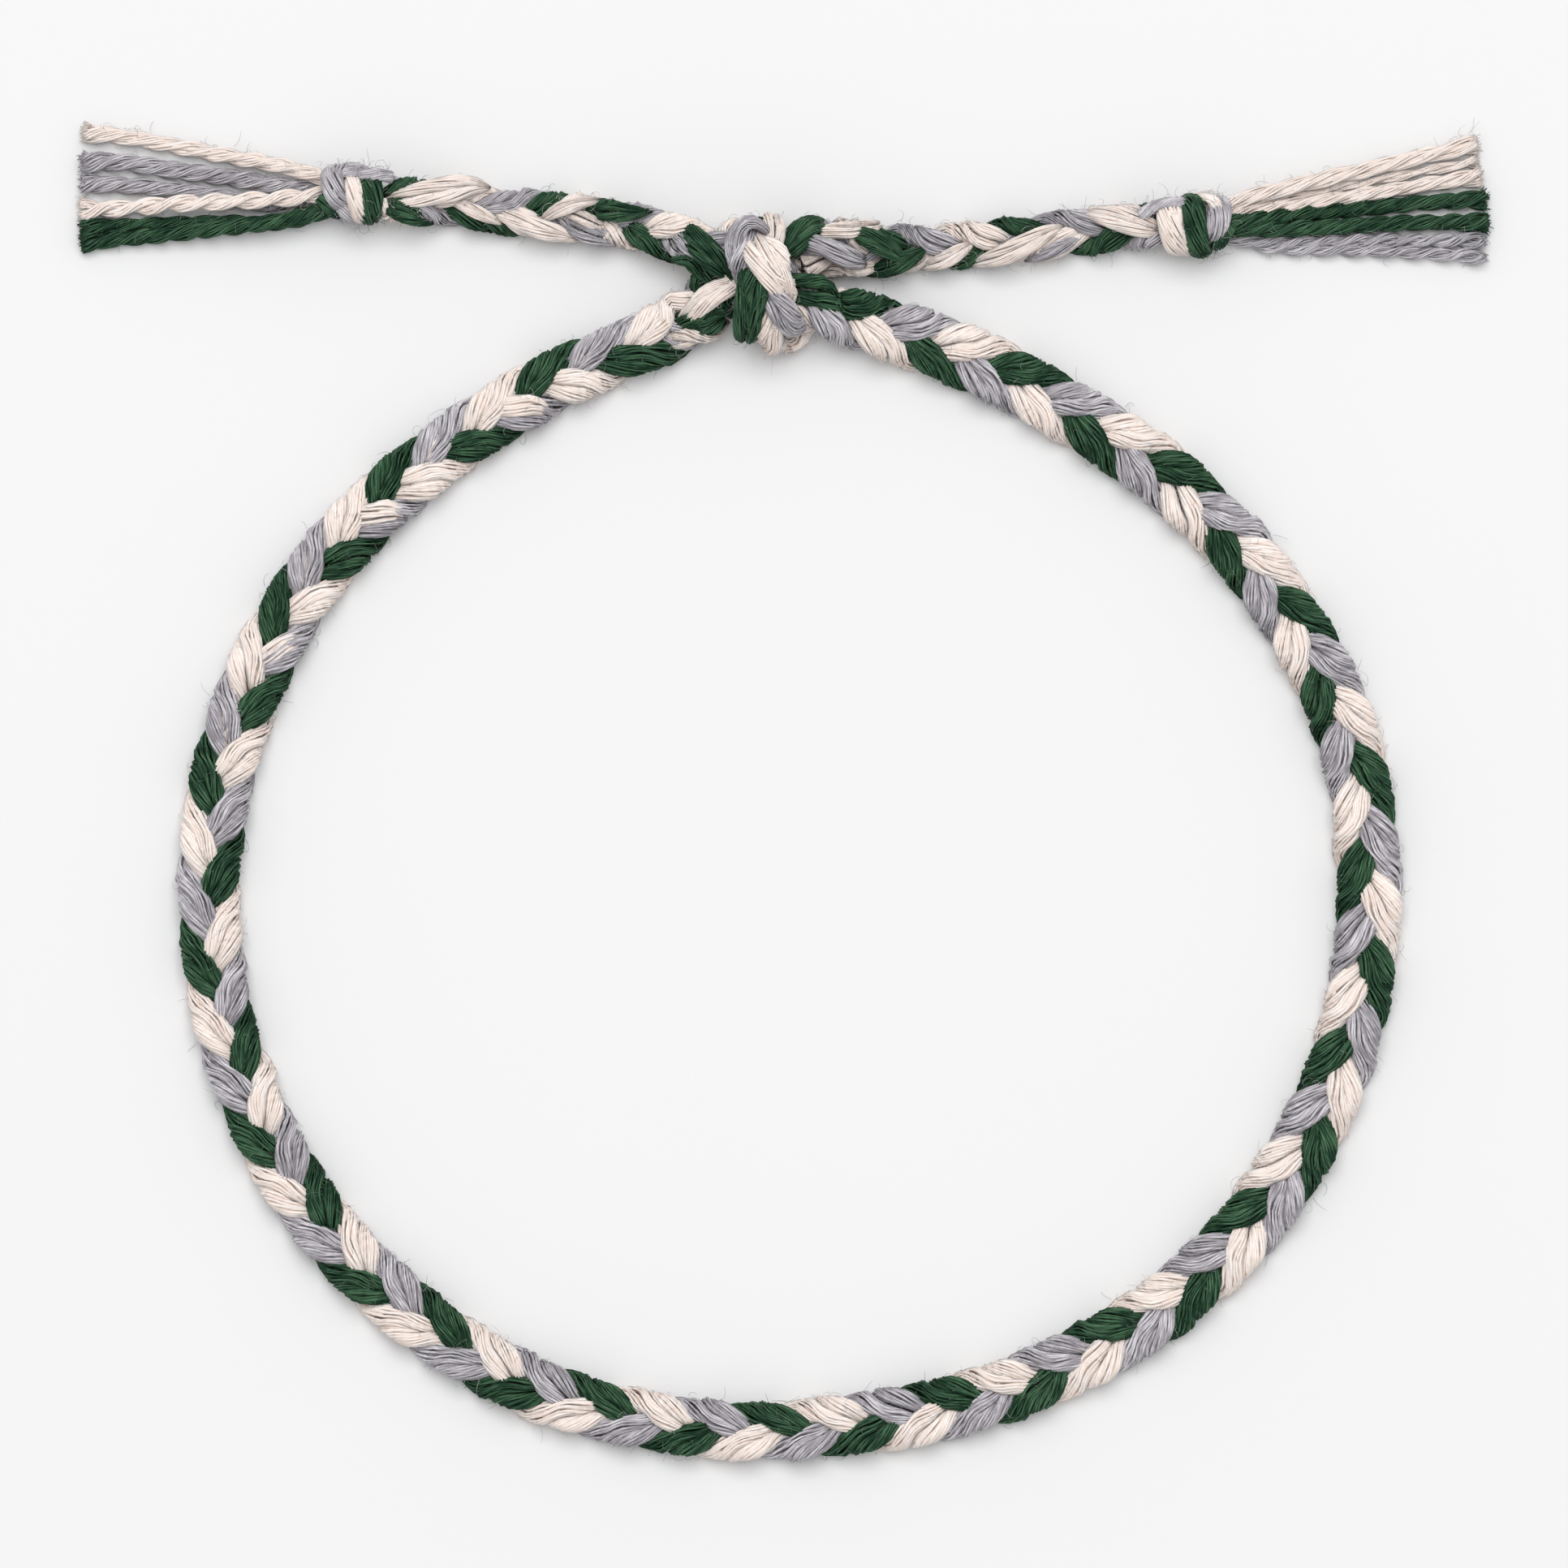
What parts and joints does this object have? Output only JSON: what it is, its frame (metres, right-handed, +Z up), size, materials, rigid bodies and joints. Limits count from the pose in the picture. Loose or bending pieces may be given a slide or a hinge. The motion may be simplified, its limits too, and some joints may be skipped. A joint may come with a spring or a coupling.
{
  "type": "braided cotton bracelet",
  "caption": "Round bracelet of three cotton strands in a flat braid, half-knotted closed, with two short tails that end in a knot and a fringe.",
  "frame": {"origin": "middle of the outline as it lies, on the surface that it lies on", "axes": "+Z up, out of the loop; +X from the left fringe to the right one; +Y from the loop to the centre knot"},
  "size_m": [0.0774, 0.0736, 0.0054],
  "materials": {
    "green_cotton": "soft plied thread, matt with a slight sheen",
    "grey_cotton": "soft plied thread, matt with a slight sheen",
    "ecru_cotton": "soft plied thread, matt"
  },
  "bodies": {
    "root": {"green_strand": "green_cotton", "grey_strand": "grey_cotton", "ecru_strand": "ecru_cotton", "left_knot_grey_turn": "grey_cotton", "left_knot_ecru_turn": "ecru_cotton", "left_knot_green_turn": "green_cotton", "right_knot_ecru_turn": "ecru_cotton", "right_knot_green_turn": "green_cotton", "right_knot_grey_turn": "grey_cotton", "left_fringe_ecru": "ecru_cotton", "left_fringe_grey": "grey_cotton", "left_fringe_green": "green_cotton", "right_fringe_ecru": "ecru_cotton", "right_fringe_grey": "grey_cotton", "right_fringe_green": "green_cotton"}
  },
  "joints": []
}
